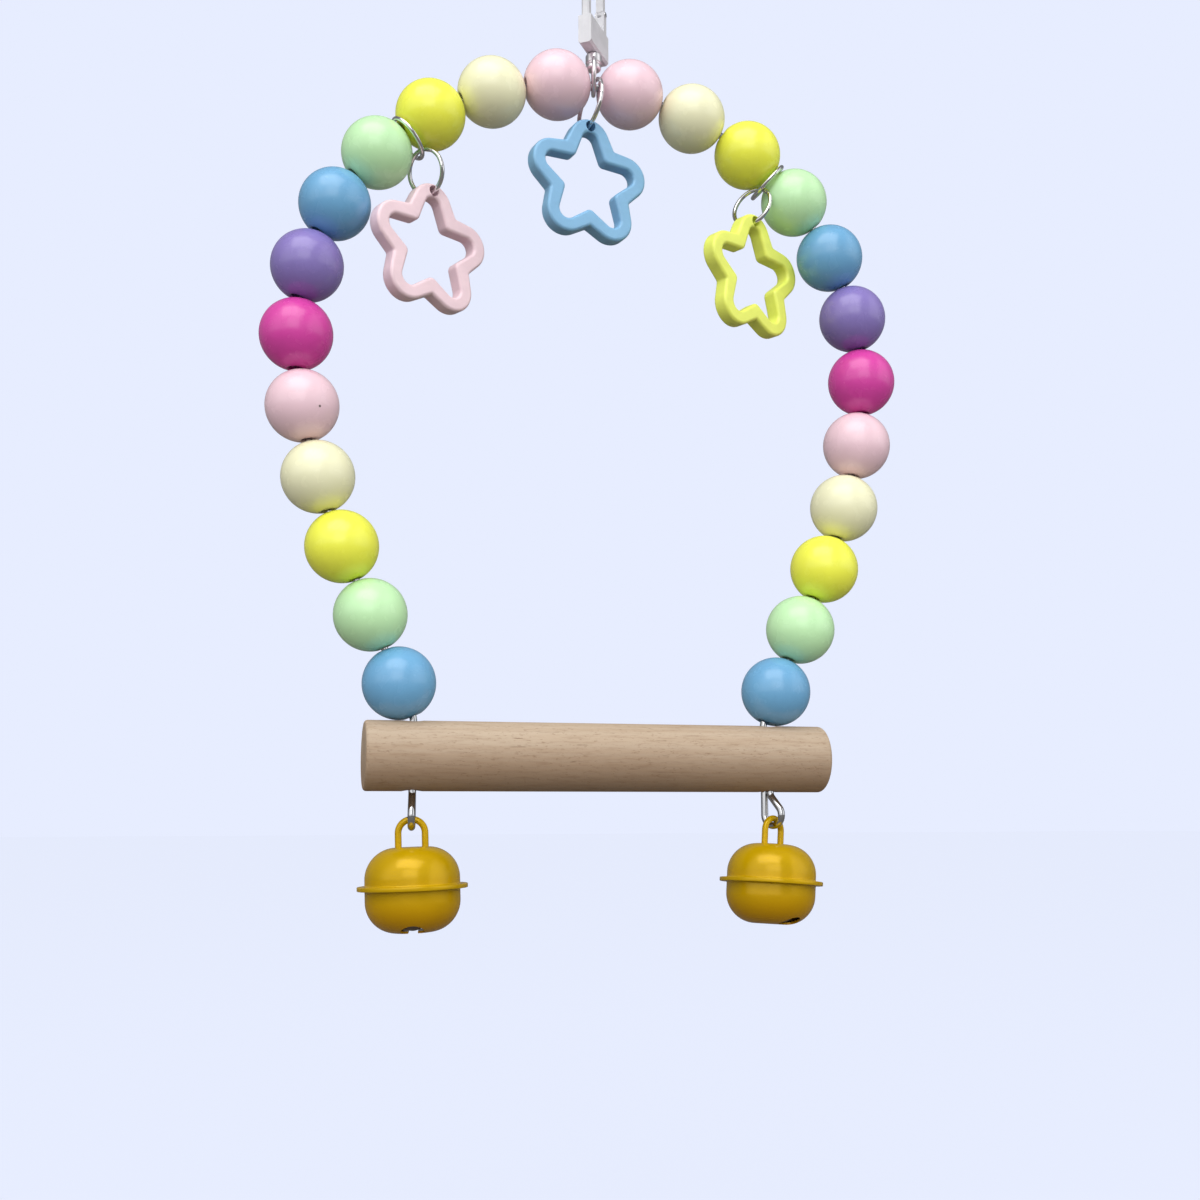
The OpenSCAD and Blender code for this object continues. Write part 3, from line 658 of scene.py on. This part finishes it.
def bend_arch():
    """The arch's one wire: crown, sides, knees, upright strands and an eye under each end of the perch."""
    apex = Vector(joints["arch_swing"]["pos_m"])
    bm = bmesh.new()
    side_reach = SIDE_R * (sin(radians(CROWN_TURN + SIDE_TURN)) - sin(radians(CROWN_TURN)))
    side_x = CROWN_R * sin(radians(CROWN_TURN)) + side_reach
    knee_turn = CROWN_TURN + SIDE_TURN - 90
    knee_tangent = KNEE_R * sin(radians(knee_turn)) / (1 + cos(radians(knee_turn)))
    leg = (side_x - STRAND_X) / sin(radians(knee_turn)) - knee_tangent
    eye_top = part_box("perch")[0].z - EYE_GAP
    bends = EYE_R + EYE_NECK_R
    across = bends - (2 * EYE_R - 2 * ARCH_WIRE - EYE_GAP)
    flank = sqrt(across ** 2 + EYE_H ** 2 - bends ** 2)
    slope = degrees(atan2(EYE_H, across) - atan2(flank, bends))
    for side in SIDES:
        wire = Wire(apex, X * side, -Z, ARCH_WIRE, bm=bm)
        wire.bend(CROWN_R, CROWN_TURN, 84).bend(SIDE_R, SIDE_TURN, 14)
        wire.run(leg, 2).bend(KNEE_R, -knee_turn, 6)
        wire.run(wire.at.z - (eye_top - EYE_H), 2)
        wire.face(eye_way(side)).bend(EYE_R, 180 + slope, 34)
        wire.run(flank).bend(EYE_NECK_R, -slope, 6).run(TAIL)
        wire.cap(wire.tip)
    return bm


def eye_way(side):
    """The way that the eye under one end of the perch bends."""
    turn = radians(EYE_TURN[side])
    return Vector((sin(turn), -cos(turn), 0))


# beads and perch

def turn_bead():
    """A ball with a bore through it, its mouths rounded over."""
    lean = degrees(asin((BORE_R + MOUTH_ROUND) / BEAD_R))
    mouth = BEAD_R * cos(radians(lean))
    shape = Outline(BORE_R + MOUTH_ROUND, mouth).arc(0, 0, 180 - 2 * lean, 40)
    shape.arc(BORE_R + MOUTH_ROUND, MOUTH_ROUND - mouth, 90, 4).line(BORE_R, mouth - MOUTH_ROUND)
    shape.arc(BORE_R + MOUTH_ROUND, mouth - MOUTH_ROUND, 90, 4)
    return shape.spin(64)


def turn_perch():
    """A dowel with rounded rims, drilled near each end for the arch's wire."""
    low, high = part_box("perch")
    radius = (high.z - low.z) / 2
    length = high.x - low.x
    left, right = RIM_ROUND[LEFT], RIM_ROUND[RIGHT]
    shape = Outline(0, 0).line(radius * 0.55, 0).line(radius - left, 0).arc(radius - left, left, -90, 5)
    for share in (0.25, 0.5, 0.75):
        shape.line(radius, length * share)
    shape.line(radius, length - right).arc(radius - right, length - right, -90, 6)
    shape.line(radius * 0.55, length).line(0, length)
    bm = shape.spin(96)
    axis = middle("perch")
    aim(bm, (low.x, axis.y, axis.z), X)
    drills = []
    for side in SIDES:
        bit = Outline(0, -radius - MM).line(HOLE_R + HOLE_LIP + MM, -radius - MM)
        bit.line(HOLE_R + HOLE_LIP, -radius + LIP_FROM).line(HOLE_R, -radius + LIP_DEPTH)
        bit.line(HOLE_R, radius - LIP_DEPTH).line(HOLE_R + HOLE_LIP, radius - LIP_FROM)
        bit.line(HOLE_R + HOLE_LIP + MM, radius + MM).line(0, radius + MM)
        bit = bit.spin(40)
        centre = Vector((side * STRAND_X, 0, axis.z)) + eye_way(side) * (ARCH_WIRE + EYE_GAP / 2)
        bmesh.ops.translate(bit, verts=bit.verts, vec=centre)
        drills.append(bit)
    return drill(bm, *drills)


# rings and stars

def bend_ring(centre, normal, radius):
    """A jump ring: a round wire whose ends meet with a hairline cut."""
    normal = Vector(normal).normalized()
    out = normal.cross(Z).normalized()
    start = out * radius
    wire = Wire(start, normal.cross(out), -out, RING_WIRE, sides=18)
    first = wire.first
    wire.bend(radius, 360 - RING_CUT, 72)
    wire.cap(first, wire.tip)
    bmesh.ops.translate(wire.bm, verts=wire.bm.verts, vec=Vector(centre))
    return wire.bm


def hung_normal(turn, lean):
    """The axis of a ring that hangs turned about the upright, and leans."""
    return Matrix.Rotation(radians(turn), 3, "Z") @ Matrix.Rotation(radians(-lean), 3, "Y") @ X


def lobed(tip_at, tip_r, corner_at, corner_r):
    """A closed line with a lobe for each tip: round tips and corners, and straight flanks between them."""
    tip = Vector((0, tip_at))
    between = radians(TIP_TURN / 2)
    corner = corner_at * Vector((sin(between), cos(between)))
    span = corner - tip
    flank = atan2(span.y, span.x) + acos((tip_r + corner_r) / span.length)
    start = tip + tip_r * Vector((-cos(flank), sin(flank)))
    leave = corner - corner_r * Vector((cos(flank), sin(flank)))
    line = Outline(*start)
    for k in range(STAR_TIPS):
        about = Matrix.Rotation(radians(-TIP_TURN * k), 2)
        if k:
            line.line(*(about @ start))
        line.arc(*(about @ tip), 180 - 2 * degrees(flank), 18)
        line.line(*(about @ leave))
        line.arc(*(about @ corner), 2 * degrees(flank) + TIP_TURN - 180, 8)
    return line.close().bm


def mould_star(node):
    """An open star with rounded edges and a hole near its top tip."""
    bm = lobed(LOBE_AT, LOBE_R, HOLLOW_AT, HOLLOW_R)
    opening = lobed(TIP_AT, TIP_R, CORNER_AT, CORNER_R)
    scrap = bpy.data.meshes.new("scrap")
    opening.to_mesh(scrap)
    bm.from_mesh(scrap)
    opening.free()
    bpy.data.meshes.remove(scrap)
    bmesh.ops.bridge_loops(bm, edges=bm.edges[:])
    bmesh.ops.translate(bm, verts=bm.verts, vec=(0, -STAR_T / 2, 0))
    grown = bmesh.ops.extrude_face_region(bm, geom=bm.faces[:], use_keep_orig=True)
    moved = [g for g in grown["geom"] if isinstance(g, bmesh.types.BMVert)]
    bmesh.ops.translate(bm, verts=moved, vec=(0, STAR_T, 0))
    bmesh.ops.recalc_face_normals(bm, faces=bm.faces)
    rims = [e for e in bm.edges if len(e.link_faces) == 2 and e.calc_face_angle(0) > radians(STAR_RIM)]
    bmesh.ops.bevel(
        bm, geom=rims, offset=STAR_EDGE, offset_type="OFFSET", segments=5, profile=0.5,
        affect="EDGES", material=-1)
    hole = round_bar(STAR_HOLE_R, -STAR_T, STAR_T, segments=40)
    aim(hole, (0, 0, STAR_HOLE_AT), Y)
    bm = drill(bm, hole)
    centre = middle(node)
    centre.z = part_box(node)[1].z - LOBE_AT - LOBE_R
    turned = Matrix.Translation(centre) @ Matrix.Rotation(radians(STAR_TURN[node]), 4, "Z")
    bmesh.ops.transform(bm, matrix=turned, verts=bm.verts)
    return bm


# bells

def shell(height, up):
    """A thin shell with a flat crown, a round shoulder and a flange: up from the seam (1) or down (-1)."""
    wall, fillet, lip = BELL_WALL, FLANGE_FILLET, FLANGE_LIP
    shoulder = BELL_R - BELL_FLAT
    shape = Outline(0, up * height).line(BELL_FLAT * 0.5, up * height).line(BELL_FLAT, up * height)
    shape.arc(BELL_FLAT, up * (height - shoulder), up * 90, 16)
    shape.line(BELL_R, up * (wall + fillet))
    shape.arc(BELL_R + fillet, up * (wall + fillet), up * -90, 4)
    shape.line(FLANGE_R - lip, up * wall).arc(FLANGE_R - lip, up * (wall - lip), up * 90, 3)
    shape.line(FLANGE_R, 0).line(BELL_R - wall, 0)
    shape.line(BELL_R - wall, up * (height - shoulder))
    shape.arc(BELL_FLAT, up * (height - shoulder), up * -90, 16)
    shape.line(0, up * (height - wall))
    return shape.spin(96)


def make_cup():
    """The lower shell, with two round sound holes joined by a slot."""
    low, high = -BELL_DOWN - MM, -BELL_DOWN + BELL_WALL + BELL_R / 4
    holes = [round_bar(SOUND_HOLE_R, low, high, y=end * SOUND_HOLE_AT) for end in (-1, 1)]
    slot = bmesh.new()
    bmesh.ops.create_cube(slot, size=1)
    bmesh.ops.scale(slot, vec=(SLOT_W, 2 * SOUND_HOLE_AT, high - low), verts=slot.verts)
    bmesh.ops.translate(slot, vec=(0, 0, (low + high) / 2), verts=slot.verts)
    return drill(shell(BELL_DOWN, -1), *holes, slot)


def make_cap():
    """The upper shell, with a hole for each leg of the loop."""
    radius, low, high = BELL_WIRE + BELL_LOOP_FIT, BELL_UP - MM, BELL_UP + MM
    holes = [round_bar(radius, low, high, x=leg * BELL_LOOP_R, segments=24) for leg in (-1, 1)]
    return drill(shell(BELL_UP, 1), *holes)


def make_bell_loop():
    """A half round of wire on two straight legs, headed over inside the crown."""
    foot = BELL_UP - BELL_WALL - BELL_LOOP_TAIL
    leg = BELL_UP + BELL_LOOP_RISE - BELL_LOOP_R - foot
    wire = Wire((-BELL_LOOP_R, 0, foot), Z, X, BELL_WIRE, sides=20)
    first = wire.first
    wire.run(leg, 2).bend(BELL_LOOP_R, 180, 28).run(leg, 2)
    wire.cap(first, wire.tip)
    return wire.bm


def make_pellet():
    """A steel ball just above the cup's floor, in the front sound hole."""
    bm = bmesh.new()
    bmesh.ops.create_icosphere(bm, subdivisions=4, radius=PELLET_R)
    up = -BELL_DOWN + BELL_WALL + PELLET_R + PELLET_GAP
    bmesh.ops.translate(bm, verts=bm.verts, vec=(0, -PELLET_AT, up))
    return bm


def hang_bell(bm, side):
    """Puts a mesh of the bell's own frame, seam at the origin, where the bell hangs."""
    hinge = Vector(joints[SIDES[side] + "_bell_swing"]["pos_m"])
    place = (Matrix.Translation(hinge)
             @ Matrix.Rotation(radians(EYE_TURN[side]), 4, "Z")
             @ Matrix.Rotation(radians(BELL_LEAN[side]), 4, "Y")
             @ Matrix.Translation((0, 0, BELL_LINK - BELL_LOOP_RISE - BELL_UP)))
    bmesh.ops.transform(bm, matrix=place, verts=bm.verts)
    return bm


# clip and swivel

def softened(node, width):
    """A copy of a node with its flat faces joined and its hard edges rounded over."""
    bm = bmesh.new()
    bm.from_mesh(frame["nodes"][node].data)
    bmesh.ops.remove_doubles(bm, verts=bm.verts, dist=SOLID_MERGE)
    bmesh.ops.dissolve_limit(bm, angle_limit=radians(SOLID_FLAT), verts=bm.verts, edges=bm.edges)
    bmesh.ops.recalc_face_normals(bm, faces=bm.faces)
    hard = [e for e in bm.edges if len(e.link_faces) == 2 and e.calc_face_angle(0) > radians(SOLID_EDGE)]
    bmesh.ops.bevel(
        bm, geom=hard, offset=width, offset_type="OFFSET", segments=2, profile=0.5,
        affect="EDGES", material=-1, clamp_overlap=True)
    return bm


def turn_swivel():
    """The stepped collar and the upright loop of wire under it."""
    low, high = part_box("swivel_loop")
    depth, radius, bore = COLLAR_H, COLLAR_R, COLLAR_BORE_R
    edge = depth / 6
    shape = Outline(bore, 0).line(radius - edge, 0).arc(radius - edge, -edge * 0.5, 90, 3)
    shape.line(radius - edge * 0.5, -edge).line(radius, -edge * 1.15).line(radius, -depth + edge * 1.15)
    shape.line(radius - edge * 0.5, -depth + edge).line(radius - edge * 0.5, -depth + edge * 0.5)
    shape.arc(radius - edge, -depth + edge * 0.5, 90, 3).line(bore, -depth)
    bm = shape.close().spin(56)
    bmesh.ops.translate(bm, verts=bm.verts, vec=(0, 0, high.z))
    loop_r = SWIVEL_LOOP_R
    centre = Vector((0, 0, low.z + loop_r + RING_WIRE))
    turn = radians(SWIVEL_LOOP_TURN)
    way = Vector((sin(turn), cos(turn), 0))
    reach = asin(radius * 0.8 / loop_r)
    start = centre + loop_r * (way * sin(reach) + Z * cos(reach))
    heading = way * cos(reach) - Z * sin(reach)
    wire = Wire(start, heading, -way * sin(reach) - Z * cos(reach), RING_WIRE, bm=bm)
    first = wire.first
    wire.bend(loop_r, 360 - 2 * degrees(reach), 64)
    wire.cap(first, wire.tip)
    return bm


# making

bpy.context.scene.view_settings.view_transform = "Standard"
add_camera()
light_the_world()
for name, box in SOFTBOXES.items():
    add_softbox(name, *box)
lay_floor()

bead_paint = {name: bead_finish(name + "_bead", colour) for name, colour in BEAD_PAINTS.items()}
specked_pink = bead_finish("specked_pink_bead", BEAD_PAINTS["pink"], SPECK_AT)
star_paint = {name: star_finish(name, colour) for name, colour in STAR_PAINTS.items()}
steel = {name: steel_finish(name, *look) for name, look in STEELS.items()}
bell_enamel = enamel_finish("bell_enamel")
clip_paint = clip_finish("clip_enamel")
perch_wood = perch_finish("perch_wood")

finish_piece(bend_arch(), "arch", "arch", "arch_steel", steel["arch_steel"], "arch_wire")
finish_piece(turn_perch(), "dowel", "arch", "perch_wood", perch_wood, "perch")

for side, side_name in SIDES.items():
    for number, colour in enumerate(BEAD_COLOURS[:BEADS_PER_SIDE], 1):
        node = f"{side_name}_bead_{number:02d}"
        spin = joints[node + "_spin"]
        bead = turn_bead()
        aim(bead, spin["pos_m"], spin["axis"])
        coat = specked_pink if node == SPECKED_BEAD else bead_paint[colour]
        finish_piece(bead, f"{side_name}_ball_{number:02d}", node, colour + "_bead", coat, node)
    for which, normal in (
            ("upper_ring", joints[side_name + "_upper_ring_swing"]["axis"]),
            ("lower_ring", hung_normal(SIDE_RING_TURN, -side * SIDE_RING_LEAN))):
        node = f"{side_name}_{which}"
        ring = bend_ring(middle(node), normal, SIDE_RING_R)
        finish_piece(ring, node + "_wire", node, "bright_steel", steel["bright_steel"], node)
    for part, make, slot, material, body in (
            ("cap", make_cap, "bell_enamel", bell_enamel, "_bell"),
            ("cup", make_cup, "bell_enamel", bell_enamel, "_bell"),
            ("loop", make_bell_loop, "bell_enamel", bell_enamel, "_bell"),
            ("pellet", make_pellet, "pellet_steel", steel["pellet_steel"], "_pellet")):
        finish_piece(
            hang_bell(make(), side), f"{side_name}_jingle_{part}", side_name + body, slot, material,
            f"{side_name}_bell_{part}")

ring = bend_ring(middle("centre_ring"), hung_normal(CENTRE_RING_TURN, -CENTRE_RING_LEAN), CENTRE_RING_R)
finish_piece(ring, "centre_ring_wire", "centre_ring", "bright_steel", steel["bright_steel"], "centre_ring")
for node, slot in (("left_star", "pink_star"), ("centre_star", "blue_star"), ("right_star", "lime_star")):
    finish_piece(mould_star(node), node + "_charm", node, slot, star_paint[slot], node)

for node, edge, name, body, slot, material in (
        ("hook_body", CLIP_EDGE, "clip_body", "clip", "clip_enamel", clip_paint),
        ("gate", GATE_EDGE, "clip_gate", "gate", "clip_enamel", clip_paint),
        ("swivel_rivet", RIVET_EDGE, "rivet", "clip", "bright_steel", steel["satin_nickel"])):
    finish_piece(softened(node, edge), name, body, slot, material, node)
finish_piece(turn_swivel(), "swivel_eye", "swivel", "bright_steel", steel["satin_nickel"], "swivel_loop")
for node, metal in (("gate_pin", "bright_steel"), ("gate_spring", "spring_steel")):
    slots = frame["nodes"][node].data.materials
    slots.clear()
    slots.append(steel[metal])
